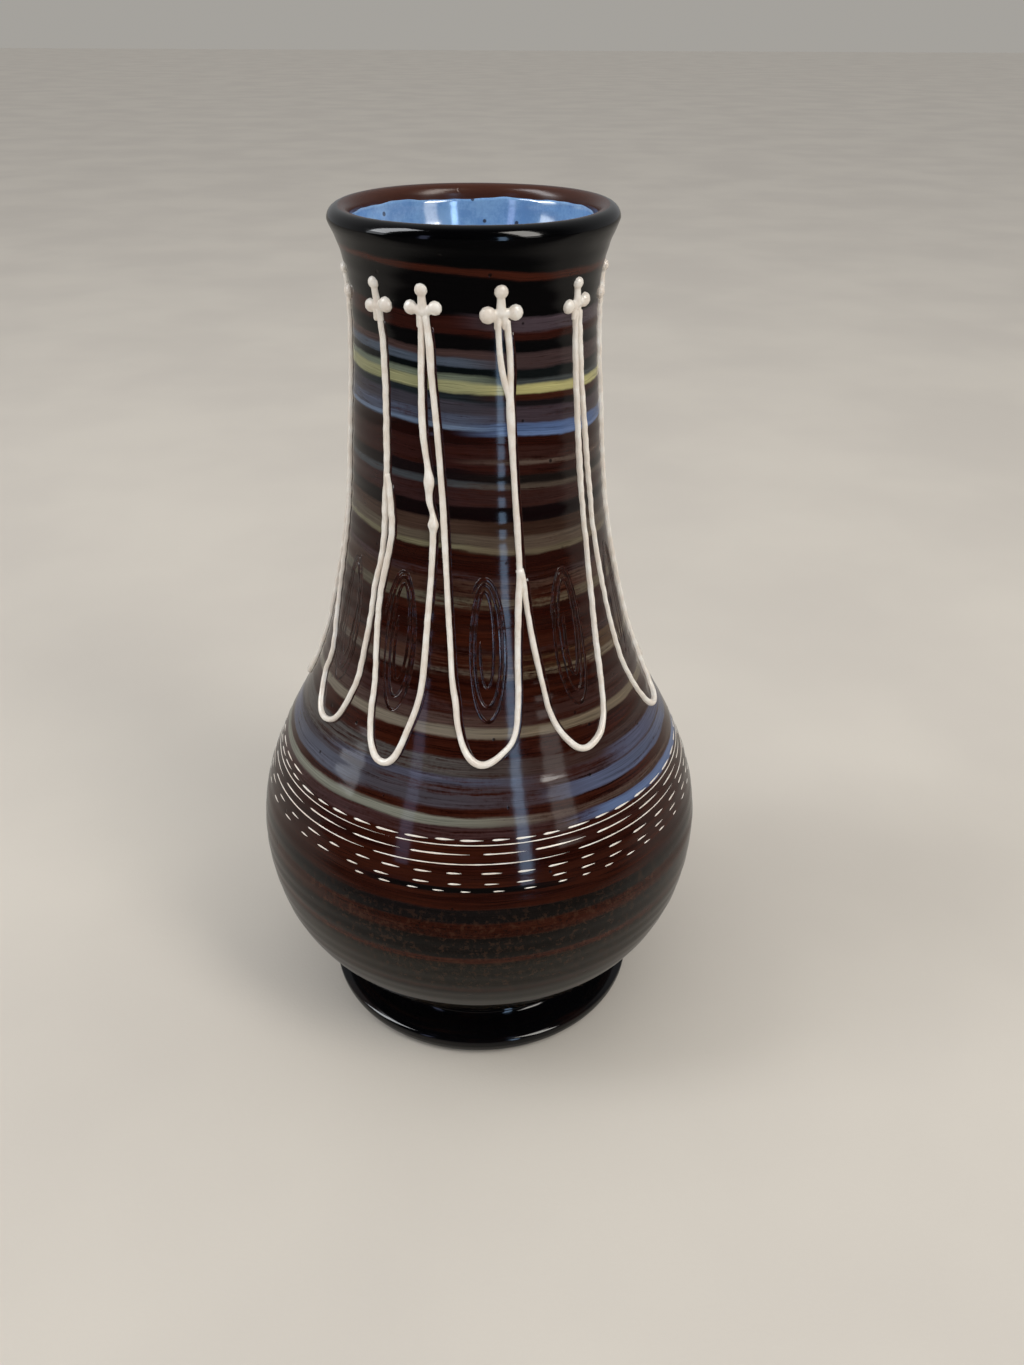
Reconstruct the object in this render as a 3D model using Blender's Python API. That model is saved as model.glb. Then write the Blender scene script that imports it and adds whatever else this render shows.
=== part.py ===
"""A wheel-thrown, pear-shaped ceramic vase on a separate flared foot, trimmed with trailed white slip.

Metres, +Z up. The origin is on the table, under the middle of the foot. Angles are in degrees round
the axis: 0 is the front (-Y) and positive turns towards +X.
"""

from math import cos, hypot, pi, radians, sin

import bmesh
import bpy
from mathutils import Vector

# Driving dimensions of the pot
HEIGHT = 0.250  # table to the top of the lip
FOOT_HEIGHT = 0.0117  # table to the top of the foot ring
FOOT_RADIUS = 0.051
FOOT_EDGE_LEVEL = 0.0065  # height of the foot's widest ring
FOOT_EDGE_UNDERCUT = 0.0050  # widest ring of the foot to the edge of its contact face
FOOT_COVE_RADIUS = 0.0430  # where the cove under the body meets the rounded flange
FOOT_COVE_LEVEL = 0.0084
FOOT_CONTACT = 0.0065  # width of the flat ring that stands on the table
FOOT_SEAT = 0.0075  # width of the flat ring that the body is luted to
SEAT_RADIUS = 0.0405  # outside radius of the body where it meets the foot
BELLY_RADIUS = 0.070
BELLY_LEVEL = 0.066
NECK_RADIUS = 0.0325
NECK_BELOW_LIP = 0.025  # the narrowest ring of the neck, measured down from the lip
LIP_RADIUS = 0.0374
LIP_ROLL = 0.0030  # radius of the rounded lip
WALL = 0.0046
FLOOR = 0.0066  # thickness of the body's floor
FLOOR_FILLET = 0.006

# Shape of the two curves, as (share of the way up, share of the way across in radius)
LOWER_CURVE = ((0.25, 0.50), (0.57, 0.87))
UPPER_CURVE = ((0.12, 0.09), (0.215, 0.265), (0.31, 0.485), (0.405, 0.65), (0.53, 0.79), (0.66, 0.895), (0.80, 0.95))

# Trailed slip
CROSS_ANGLES = (-83, -46.5, -22.5, 10.8, 49.8, 86, 119, 149, 183, 214, 247)
LOOP_ANGLES = (-59, -31, 1.5, 35.5, 77, 105, 137, 170, 202, 234, 264)
LOOP_LEVELS = (0.1145, 0.1125, 0.1145, 0.1140, 0.1105, 0.1130, 0.1145, 0.1120, 0.1135, 0.1110, 0.1130)
CROSS_BELOW_LIP = 0.0197  # lip to the arms of each cross
CROSS_ARM = 0.0052  # middle of a cross to the tip of an arm
CROSS_TOP = 0.0056  # middle of a cross to the tip of its top drop
CROSS_CORE = 0.0013  # middle of a cross to the corner between two lobes
LOOP_DEPTH = 0.0165  # height of the round bottom of each garland
LOOP_SHARE = 0.30  # half width of a garland, as a share of the angle between its crosses
STRAND_SPREAD = 0.0027  # between the two strands that hang from one cross
SLIP_WIDTH = 0.0017
SLIP_THICKNESS = 0.0012
GAP = 0.0003  # glue line between pieces that lie on each other

# Facets
TURNS = 60
OUTER_STEPS = 40
INNER_STEPS = 15
ARC_STEPS = 5
STRAND_STEPS = 11
LOOP_STEPS = 14
CROSS_STEPS = 24


def clear_scene():
    for obj in list(bpy.data.objects):
        bpy.data.objects.remove(obj, do_unlink=True)


def glaze(name, colour, roughness):
    material = bpy.data.materials.new(name)
    material.use_nodes = True
    shader = material.node_tree.nodes["Principled BSDF"]
    shader.inputs["Base Color"].default_value = (*colour, 1.0)
    shader.inputs["Roughness"].default_value = roughness
    shader.inputs["Metallic"].default_value = 0.0
    return material


def add_object(name, bm, material, sharp_degrees=35.0):
    bmesh.ops.recalc_face_normals(bm, faces=bm.faces)
    mesh = bpy.data.meshes.new(name)
    bm.to_mesh(mesh)
    bm.free()
    mesh.shade_smooth()
    mesh.set_sharp_from_angle(angle=radians(sharp_degrees))
    mesh.materials.append(material)
    obj = bpy.data.objects.new(name, mesh)
    bpy.context.scene.collection.objects.link(obj)
    return obj


def between(a, b, share):
    return a + (b - a) * share


def body_stations():
    """(level, radius) of the rings that the outside of the body is drawn through, from the seat up."""
    seat = FOOT_HEIGHT + GAP
    neck = HEIGHT - NECK_BELOW_LIP
    lip = HEIGHT - LIP_ROLL
    stations = [(seat, SEAT_RADIUS)]
    for up, across in LOWER_CURVE:
        stations.append((between(seat, BELLY_LEVEL, up), between(SEAT_RADIUS, BELLY_RADIUS, across)))
    stations.append((BELLY_LEVEL, BELLY_RADIUS))
    for up, across in UPPER_CURVE:
        stations.append((between(BELLY_LEVEL, neck, up), between(BELLY_RADIUS, NECK_RADIUS, across)))
    stations.append((neck, NECK_RADIUS))
    stations.append((between(neck, lip, 0.6), between(NECK_RADIUS, LIP_RADIUS, 0.27)))
    stations.append((lip, LIP_RADIUS))
    return stations


STATIONS = body_stations()


def station_slope(index):
    """Change of radius per metre of height at a station, from its neighbours."""
    below = STATIONS[max(index - 1, 0)]
    above = STATIONS[min(index + 1, len(STATIONS) - 1)]
    return (above[1] - below[1]) / (above[0] - below[0])


def outer_radius(level):
    """Outside radius of the body at a level: a cubic through the stations."""
    index = 0
    while index < len(STATIONS) - 2 and STATIONS[index + 1][0] < level:
        index += 1
    low, low_radius = STATIONS[index]
    high, high_radius = STATIONS[index + 1]
    span = high - low
    t = (level - low) / span
    start = station_slope(index) * span
    end = station_slope(index + 1) * span
    rise = high_radius - low_radius
    return low_radius + t * (start + t * (3 * rise - 2 * start - end + t * (start + end - 2 * rise)))


def outer_slope(level):
    step = 0.0005
    return (outer_radius(level + step) - outer_radius(level - step)) / (2 * step)


def inner_radius(level):
    """Inside radius of the body, one wall in from the outside measured square to it."""
    return outer_radius(level) - WALL * hypot(1.0, outer_slope(level))


def levels_down(top, bottom, steps):
    return [between(top, bottom, i / steps) for i in range(steps + 1)]


def arc(centre_radius, centre_level, size, start, end, steps):
    """(radius, level) points on an arc, with angles in degrees from straight out."""
    points = []
    for i in range(steps + 1):
        angle = radians(between(start, end, i / steps))
        points.append((centre_radius + size * cos(angle), centre_level + size * sin(angle)))
    return points


def turned(name, outline, closed, material):
    """A round piece: its outline of (radius, level) points is turned about the axis by a Screw modifier."""
    mesh = bpy.data.meshes.new(name)
    verts = [(radius, 0.0, level) for radius, level in outline]
    count = len(verts)
    edges = [(i, i + 1) for i in range(count - 1)]
    if closed:
        edges.append((count - 1, 0))
    mesh.from_pydata(verts, edges, [])
    mesh.materials.append(material)
    obj = bpy.data.objects.new(name, mesh)
    bpy.context.scene.collection.objects.link(obj)
    screw = obj.modifiers.new("Turned", "SCREW")
    screw.angle = 2 * pi
    screw.steps = TURNS
    screw.render_steps = TURNS
    screw.use_merge_vertices = True
    screw.merge_threshold = 0.00001
    screw.use_smooth_shade = True
    return obj


def add_body(material):
    seat = FOOT_HEIGHT + GAP
    floor = seat + FLOOR
    lip_level = HEIGHT - LIP_ROLL
    lip_middle = LIP_RADIUS - LIP_ROLL
    outline = arc(lip_middle, lip_level, LIP_ROLL, 90, 0, ARC_STEPS)
    outline += [(outer_radius(z), z) for z in levels_down(lip_level, seat, OUTER_STEPS)[1:]]
    outline.append((0.0, seat))
    outline.append((0.0, floor))
    corner = inner_radius(floor + FLOOR_FILLET) - FLOOR_FILLET
    outline += arc(corner, floor + FLOOR_FILLET, FLOOR_FILLET, -90, 0, ARC_STEPS)[:-1]
    neck_level = HEIGHT - NECK_BELOW_LIP
    inner_levels = levels_down(neck_level, floor + FLOOR_FILLET, INNER_STEPS)
    outline += [(inner_radius(z), z) for z in reversed(inner_levels)]
    inner_lip = lip_middle - LIP_ROLL
    inner_neck = inner_radius(neck_level)
    outline.append((between(inner_neck, inner_lip, 0.35), between(neck_level, lip_level, 0.55)))
    outline += arc(lip_middle, lip_level, LIP_ROLL, 180, 90, ARC_STEPS)[:-1]
    return turned("vase_body", outline, True, material)


def quarter(start, end, steps, hollow):
    """(radius, level) points on a quarter ellipse from start to end, hollow like a cove or full like a bead."""
    points = []
    for i in range(steps + 1):
        turn = radians(90 * i / steps)
        out, down = (1 - cos(turn), sin(turn)) if hollow else (sin(turn), 1 - cos(turn))
        points.append((between(start[0], end[0], out), between(start[1], end[1], down)))
    return points


def add_foot(material):
    top = (SEAT_RADIUS, FOOT_HEIGHT)
    cove = (FOOT_COVE_RADIUS, FOOT_COVE_LEVEL)
    edge = (FOOT_RADIUS, FOOT_EDGE_LEVEL)
    contact_outer = FOOT_RADIUS - FOOT_EDGE_UNDERCUT
    outline = quarter(top, cove, 3, True)
    outline += quarter(cove, edge, ARC_STEPS, False)[1:]
    for i in range(1, ARC_STEPS):  # under the edge, down to the contact face
        turn = radians(90 * i / ARC_STEPS)
        outline.append((between(contact_outer, FOOT_RADIUS, cos(turn)), between(FOOT_EDGE_LEVEL, 0.0, sin(turn))))
    outline.append((contact_outer, 0.0))
    outline.append((contact_outer - FOOT_CONTACT, 0.0))
    outline.append((SEAT_RADIUS - FOOT_SEAT, FOOT_HEIGHT))
    return turned("foot_ring", outline, True, material)


def surface_point(angle, level):
    turn = radians(angle)
    radius = outer_radius(level)
    return Vector((radius * sin(turn), -radius * cos(turn), level))


def surface_normal(angle, level):
    turn = radians(angle)
    return Vector((sin(turn), -cos(turn), -outer_slope(level))).normalized()


def spread_angle(level):
    """Half the angle between the two strands of one cross."""
    return (STRAND_SPREAD / 2) / outer_radius(level) * 180 / pi


def garland_path(first, second, bottom, bottom_level, top_level):
    """(angle, level) points of one trail: down from one cross, round its loop, and up to the next."""
    loop_top = bottom_level + LOOP_DEPTH
    half = LOOP_SHARE * (second - first)
    spread = spread_angle(top_level)
    path = []
    for i in range(STRAND_STEPS):
        t = i / STRAND_STEPS
        path.append((between(first + spread, bottom - half, t), between(top_level, loop_top, t)))
    for i in range(LOOP_STEPS + 1):
        turn = pi * i / LOOP_STEPS
        path.append((bottom - half * cos(turn), loop_top - LOOP_DEPTH * sin(turn)))
    for i in range(1, STRAND_STEPS + 1):
        t = i / STRAND_STEPS
        path.append((between(bottom + half, second - spread, t), between(loop_top, top_level, t)))
    return path


def bead_section():
    """(across, out) points of a trailed bead: a flat underside and a rounded back."""
    half = SLIP_WIDTH / 2
    section = []
    for turn in (0, 50, 90, 130, 180):
        section.append((half * cos(radians(turn)), GAP + SLIP_THICKNESS * sin(radians(turn))))
    return section


def add_garland(name, path, material):
    section = bead_section()
    points = [surface_point(angle, level) for angle, level in path]
    normals = [surface_normal(angle, level) for angle, level in path]
    bm = bmesh.new()
    rings = []
    for i, point in enumerate(points):
        along = points[min(i + 1, len(points) - 1)] - points[max(i - 1, 0)]
        side = along.cross(normals[i]).normalized()
        rings.append([bm.verts.new(point + side * across + normals[i] * out) for across, out in section])
    count = len(section)
    for lower, upper in zip(rings, rings[1:]):
        for k in range(count):
            bm.faces.new((lower[k], lower[(k + 1) % count], upper[(k + 1) % count], upper[k]))
    bm.faces.new(rings[0])
    bm.faces.new(rings[-1])
    return add_object(name, bm, material, 75.0)


def cross_outline(share):
    """(across, up) points of a cross of slip drops, drawn in to a share of its size."""
    points = []
    for i in range(CROSS_STEPS):
        turn = 2 * pi * i / CROSS_STEPS
        reach = between(CROSS_ARM, CROSS_TOP, max(sin(turn), 0.0) ** 2)
        if sin(turn) < -0.8:
            reach = CROSS_CORE
        lobe = abs(cos(2 * turn)) ** 3
        radius = between(CROSS_CORE, reach, lobe) * share
        points.append((radius * cos(turn), radius * sin(turn)))
    return points


def add_cross(name, angle, material):
    level = HEIGHT - CROSS_BELOW_LIP
    bm = bmesh.new()
    rings = []
    for share, out in ((1.0, 0.0), (0.96, 0.6), (0.72, 1.0)):
        ring = []
        for across, up in cross_outline(share):
            turn = angle + across / outer_radius(level) * 180 / pi
            normal = surface_normal(turn, level + up)
            ring.append(bm.verts.new(surface_point(turn, level + up) + normal * (GAP + out * SLIP_THICKNESS)))
        rings.append(ring)
    for lower, upper in zip(rings, rings[1:]):
        for k in range(CROSS_STEPS):
            nxt = (k + 1) % CROSS_STEPS
            bm.faces.new((lower[k], lower[nxt], upper[nxt], upper[k]))
    for ring, out in ((rings[0], GAP), (rings[-1], GAP + SLIP_THICKNESS)):
        middle = bm.verts.new(surface_point(angle, level) + surface_normal(angle, level) * out)
        for k in range(CROSS_STEPS):
            bm.faces.new((ring[k], ring[(k + 1) % CROSS_STEPS], middle))
    return add_object(name, bm, material, 75.0)


def add_slip(material):
    top_level = HEIGHT - CROSS_BELOW_LIP - CROSS_CORE - GAP
    count = len(CROSS_ANGLES)
    for i, angle in enumerate(CROSS_ANGLES):
        add_cross(f"slip_cross_{i + 1:02d}", angle, material)
        following = CROSS_ANGLES[(i + 1) % count] + (360 if i == count - 1 else 0)
        path = garland_path(angle, following, LOOP_ANGLES[i], LOOP_LEVELS[i], top_level)
        add_garland(f"slip_garland_{i + 1:02d}", path, material)


def main():
    clear_scene()
    red_clay = glaze("Red clay under clear glaze", (0.075, 0.022, 0.016), 0.12)
    black_glaze = glaze("Black glaze", (0.006, 0.006, 0.008), 0.08)
    white_slip = glaze("White slip", (0.71, 0.66, 0.60), 0.22)
    add_body(red_clay)
    add_foot(black_glaze)
    add_slip(white_slip)


main()
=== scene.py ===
import math
import bmesh
import bpy
import numpy as np
from mathutils import Matrix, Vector
from mathutils.bvhtree import BVHTree


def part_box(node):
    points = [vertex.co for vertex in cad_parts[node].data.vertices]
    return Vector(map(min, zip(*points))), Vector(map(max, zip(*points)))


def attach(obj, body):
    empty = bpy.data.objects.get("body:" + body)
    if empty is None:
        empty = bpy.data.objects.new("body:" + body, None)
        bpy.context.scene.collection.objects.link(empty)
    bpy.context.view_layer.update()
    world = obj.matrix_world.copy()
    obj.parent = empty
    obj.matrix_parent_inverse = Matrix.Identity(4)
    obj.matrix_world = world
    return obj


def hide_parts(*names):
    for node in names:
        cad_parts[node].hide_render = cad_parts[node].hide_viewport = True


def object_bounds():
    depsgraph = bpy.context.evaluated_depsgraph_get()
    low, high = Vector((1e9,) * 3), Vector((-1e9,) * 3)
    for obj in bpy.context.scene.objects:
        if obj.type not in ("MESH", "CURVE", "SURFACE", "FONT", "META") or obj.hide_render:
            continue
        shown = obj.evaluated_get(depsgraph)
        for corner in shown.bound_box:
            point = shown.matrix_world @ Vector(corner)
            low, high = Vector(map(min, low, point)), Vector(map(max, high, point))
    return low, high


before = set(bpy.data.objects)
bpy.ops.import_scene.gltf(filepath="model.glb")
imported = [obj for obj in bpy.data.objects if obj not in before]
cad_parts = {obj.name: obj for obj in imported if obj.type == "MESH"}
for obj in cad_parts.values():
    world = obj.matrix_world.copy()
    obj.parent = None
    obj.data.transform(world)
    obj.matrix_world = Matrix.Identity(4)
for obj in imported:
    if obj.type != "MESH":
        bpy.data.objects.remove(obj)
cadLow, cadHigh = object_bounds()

print("frame loaded, CAD box", [round(v, 4) for v in (*cadLow, *cadHigh)])


def linear(code):
    values = [int(code[i:i + 2], 16) / 255 for i in (1, 3, 5)]
    return [v / 12.92 if v <= 0.04045 else ((v + 0.055) / 1.055) ** 2.4 for v in values]


class Wire:
    # a node socket that can be used in sums
    def __init__(self, finish, socket):
        self.finish = finish
        self.socket = socket

    def maths(self, operation, first, second=0.0):
        return self.finish.add("Math", {"operation": operation}, {0: first, 1: second})

    def __add__(self, other):
        return self.maths("ADD", self, other)

    def __sub__(self, other):
        return self.maths("SUBTRACT", self, other)

    def __rsub__(self, other):
        return self.maths("SUBTRACT", other, self)

    def __mul__(self, other):
        return self.maths("MULTIPLY", self, other)

    def __truediv__(self, other):
        return self.maths("DIVIDE", self, other)

    def __pow__(self, other):
        return self.maths("POWER", self, other)

    def __abs__(self):
        return self.maths("ABSOLUTE", self)

    __radd__ = __add__
    __rmul__ = __mul__


class Finish:
    # a node tree, of a new material unless one is given
    def __init__(self, name, tree=None):
        if tree is None:
            self.material = bpy.data.materials.new(name)
            self.material.use_nodes = True
            tree = self.material.node_tree
        self.tree = tree
        self.tree.nodes.clear()

    def add(self, kind, settings=None, sockets=None, output=0):
        node = self.tree.nodes.new("ShaderNode" + kind)
        for key, value in (settings or {}).items():
            if key == "stops":
                self.setStops(node.color_ramp, value)
            else:
                setattr(node, key, value)
        for key, value in (sockets or {}).items():
            if isinstance(value, Wire):
                self.tree.links.new(value.socket, node.inputs[key])
            else:
                node.inputs[key].default_value = value
        self.last = node
        return Wire(self, node.outputs[output]) if node.outputs else node

    def setStops(self, ramp, stops):
        ramp.interpolation = "LINEAR"
        while len(ramp.elements) > 1:
            ramp.elements.remove(ramp.elements[-1])
        for i, (position, colour) in enumerate(stops):
            element = ramp.elements[0] if i == 0 else ramp.elements.new(position)
            element.position = position
            element.color = colour

    def also(self, output):
        return Wire(self, self.last.outputs[output])

    def step(self, value, low, high):
        # 0 below low, 1 above high, smooth between
        return self.add("MapRange", {"interpolation_type": "SMOOTHSTEP"}, {0: value, 1: low, 2: high})

    def blend(self, factor, first, second):
        colours = [c if isinstance(c, Wire) else (*c, 1.0) for c in (first, second)]
        return self.add("Mix", {"data_type": "RGBA"}, {0: factor, 6: colours[0], 7: colours[1]}, 2)

    def scaled(self, vector, factors):
        return self.add("VectorMath", {"operation": "MULTIPLY"}, {0: vector, 1: factors})

    def noise(self, vector, scale, detail=2.0, roughness=0.5):
        return self.add("TexNoise", None, {"Vector": vector, "Scale": scale, "Detail": detail,
                                           "Roughness": roughness})

    def position(self):
        return self.add("TexCoord", None, None, "Object")

    def combine(self, x, y, z):
        return self.add("CombineXYZ", None, {0: x, 1: y, 2: z})

    def specks(self, vector, scale, size, rarity):
        # round dots, only in the cells whose random value is high enough
        sockets = {"Vector": vector, "Scale": scale, "Randomness": 1.0}
        cells = self.add("TexVoronoi", {"feature": "F1"}, sockets)
        pick = self.add("SeparateXYZ", None, {0: self.also("Color")})
        return self.step(cells, *size) * self.step(pick, *rarity)

    def place(self):
        # position in metres, direction from the axis, then level and distance from it in millimetres
        point = self.position()
        x = self.add("SeparateXYZ", None, {0: point})
        y = self.also(1)
        z = self.also(2)
        reach = self.add("Math", {"operation": "SQRT"}, {0: x * x + y * y})
        reach = self.add("Math", {"operation": "MAXIMUM"}, {0: reach, 1: 0.0001})
        return point, x / reach, y / reach, z * 1000, reach * 1000

    def surface(self, sockets, bump=None, bumpDistance=0.001, bumpStrength=1.0):
        if bump is not None:
            sockets["Normal"] = self.add("Bump", None, {"Height": bump, "Distance": bumpDistance,
                                                        "Strength": bumpStrength})
        shader = self.add("BsdfPrincipled", None, sockets)
        self.add("OutputMaterial", None, {"Surface": shader})
        return self.material


pot = {
    "columns": 320,
    "rowHeight": 0.00112,
    "lipRoll": 0.003,
    "rollSteps": 15,
    "fineInside": 0.225,
    "fineStep": 0.0015,
    "coarseStep": 0.005,
    "lipBlendFrom": 0.235,
    "ringDepth": 0.00005,
    "ringPitch": 0.0043,
    "fineRingDepth": 0.00003,
    "ovalness": 0.0014,
    "lipUneven": 0.0006,
    "unevenFrom": 0.21,
    "profileSmoothing": 0.0022,
    "insideSmoothing": 0.001,
    "seed": 11,
}

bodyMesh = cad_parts["vase_body"].data
bodyTree = BVHTree.FromPolygons([v.co for v in bodyMesh.vertices], [p.vertices for p in bodyMesh.polygons])
potTop = cadHigh.z
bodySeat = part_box("vase_body")[0].z
lipLevel = potTop - pot["lipRoll"]


def probe(start, direction):
    hit = bodyTree.ray_cast(start, direction)[0]
    return None if hit is None else math.hypot(hit.x, hit.y)


def softened(values, sigma):
    # Gaussian average that leaves straight ends alone
    reach = int(3 * sigma) + 1
    weights = np.exp(-0.5 * (np.arange(-reach, reach + 1) / sigma) ** 2)
    head = 2 * values[0] - values[reach:0:-1]
    tail = 2 * values[-1] - values[-2:-reach - 2:-1]
    return np.convolve(np.concatenate([head, values, tail]), weights / weights.sum(), "valid")


probeStep = 0.00025
outerLevels = np.arange(bodySeat + 0.0001, lipLevel, probeStep)
outerTable = np.array([probe((0, -0.3, z), (0, 1, 0)) for z in outerLevels])
outerTable = softened(outerTable, pot["profileSmoothing"] / probeStep)
floorLevel = bodyTree.ray_cast((0, 0, potTop), (0, 0, -1))[0].z
innerLevels = np.arange(floorLevel + 0.0002, lipLevel, probeStep)
innerTable = np.array([probe((0, 0, z), (0, -1, 0)) for z in innerLevels])
innerTable = softened(innerTable, pot["insideSmoothing"] / probeStep)
lipMiddle = outerTable[-1] - pot["lipRoll"]

rng = np.random.default_rng(pot["seed"])
reliefLevels = np.arange(0, 0.26, 0.0005)
reliefTables = [softened(rng.normal(0, 1, len(reliefLevels)), 1.8) for _ in range(3)]
reliefTables = [t / t.std() for t in reliefTables]


def smoothStep(value, low, high):
    t = np.clip((value - low) / (high - low), 0, 1)
    return t * t * (3 - 2 * t)


def relief(angle, level):
    # throwing rings left by the fingers
    turn = np.radians(angle)
    rings = np.sin(2 * np.pi * level / pot["ringPitch"] + turn + 1.3 * np.sin(level / 0.017))
    fine = np.interp(level, reliefLevels, reliefTables[0])
    fine = fine + 0.6 * np.interp(level, reliefLevels, reliefTables[1]) * np.cos(turn + 1)
    fine = fine + 0.6 * np.interp(level, reliefLevels, reliefTables[2]) * np.sin(2 * turn)
    return pot["ringDepth"] * rings + pot["fineRingDepth"] * fine


def lipLift(angle, level):
    turn = np.radians(angle)
    share = smoothStep(level, pot["unevenFrom"], potTop)
    return share * pot["lipUneven"] * (1 - np.cos(turn + 0.2) + 0.2 * np.cos(3 * turn + 0.4))


def outOfRound(angle):
    turn = np.radians(angle)
    return 1 + pot["ovalness"] * (np.cos(2 * turn + 0.6) + 0.5 * np.cos(3 * turn - 1.0) - 1.0)


def wallPoint(angle, level):
    # (N, 3) points on the outside of the pot
    angle, level = np.broadcast_arrays(np.asarray(angle, float), np.asarray(level, float))
    radius = np.interp(level, outerLevels, outerTable) * outOfRound(angle) + relief(angle, level)
    turn = np.radians(angle)
    return np.stack([radius * np.sin(turn), -radius * np.cos(turn), level + lipLift(angle, level)], -1)


def unit(vectors):
    return vectors / np.linalg.norm(vectors, axis=-1, keepdims=True)


def wallNormal(angle, level):
    around = wallPoint(angle + 0.6, level) - wallPoint(angle - 0.6, level)
    up = wallPoint(angle, level + 0.0008) - wallPoint(angle, level - 0.0008)
    return unit(np.cross(around, up))


def potRadius(level):
    return float(np.interp(level, outerLevels, outerTable))


def linked(name, data):
    # a new object in the scene
    placed = bpy.data.objects.new(name, data)
    bpy.context.scene.collection.objects.link(placed)
    return placed


def addPiece(name, verts, faces, material, nodes=()):
    mesh = bpy.data.meshes.new(name)
    mesh.from_pydata([tuple(map(float, v)) for v in verts], [], faces)
    mesh.validate()
    bm = bmesh.new()
    bm.from_mesh(mesh)
    bmesh.ops.recalc_face_normals(bm, faces=bm.faces)
    bm.to_mesh(mesh)
    bm.free()
    mesh.shade_smooth()
    mesh.materials.append(material)
    piece = linked(name, mesh)
    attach(piece, "root")
    if nodes:
        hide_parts(*nodes)


def ringFaces(rows, columns):
    # quads between rings of vertices that close on themselves
    faces = []
    for r in range(rows - 1):
        for c in range(columns):
            nxt = (c + 1) % columns
            low, high = r * columns, (r + 1) * columns
            faces.append((low + c, low + nxt, high + nxt, high + c))
    return faces


def densePath(points, step, ease=0.0):
    # smooth curve through (angle, level mm) points, in even steps: angle, level in m, distance run
    p = np.array(points, float)
    p = np.vstack([2 * p[0] - p[1], p, 2 * p[-1] - p[-2]])
    t = np.linspace(0, 1, 16, endpoint=False)[:, None]
    spans = []
    for a, b, c, d in zip(p, p[1:], p[2:], p[3:]):
        spans.append(0.5 * (2 * b + (c - a) * t + (2 * a - 5 * b + 4 * c - d) * t * t
                            + (3 * b - a - 3 * c + d) * t ** 3))
    curve = np.vstack([*spans, p[-2:-1]])
    curve[:, 1] /= 1000
    spot = wallPoint(curve[:, 0], curve[:, 1])
    run = np.concatenate([[0], np.cumsum(np.linalg.norm(np.diff(spot, axis=0), axis=1))])
    even = np.linspace(0, run[-1], max(int(run[-1] / step), 3))
    angles, levels = np.interp(even, run, curve[:, 0]), np.interp(even, run, curve[:, 1])
    if ease:
        angles, levels = softened(angles, ease / step), softened(levels, ease / step)
    return angles, levels, even


def bead(angles, levels, halfWidths, heights, section, shift=0.0, sunk=0.00015):
    # verts and faces of a trail lying on the pot, with its section as (across, out) from side to side
    spot = wallPoint(angles, levels)
    normal = wallNormal(angles, levels)
    along = unit(np.gradient(spot, axis=0))
    side = unit(np.cross(along, normal))
    spot = spot + side * np.asarray(shift)[..., None]
    count = len(section) + 2
    rings = []
    for across, out in section:
        rings.append(spot + side * (halfWidths * across)[:, None] + normal * (heights * out)[:, None])
    for across in (section[-1][0], section[0][0]):
        rings.append(spot + side * (halfWidths * across)[:, None] - normal * sunk)
    verts = np.stack(rings, 1).reshape(-1, 3)
    faces = ringFaces(len(angles), count)
    faces.append(tuple(range(count)))
    faces.append(tuple(range(len(verts) - count, len(verts))))
    return verts, faces


def joined(shapes):
    verts, faces, start = [], [], 0
    for shapeVerts, shapeFaces in shapes:
        verts.append(shapeVerts)
        faces += [tuple(i + start for i in f) for f in shapeFaces]
        start += len(shapeVerts)
    return np.vstack(verts), faces


def roundSection(count, fullness=0.8):
    turns = [math.pi * i / (count - 1) for i in range(count)]
    return [(math.cos(t), math.sin(t) ** fullness if 0 < t < math.pi else 0.0) for t in turns]


def wavy(length, spacing, amount, generator):
    # slow random variation round 1
    knots = generator.normal(0, 1, max(int(length[-1] / spacing) + 3, 4))
    at = np.linspace(0, length[-1], len(knots))
    return 1 + amount * softened(np.interp(length, at, knots), 4)


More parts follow.
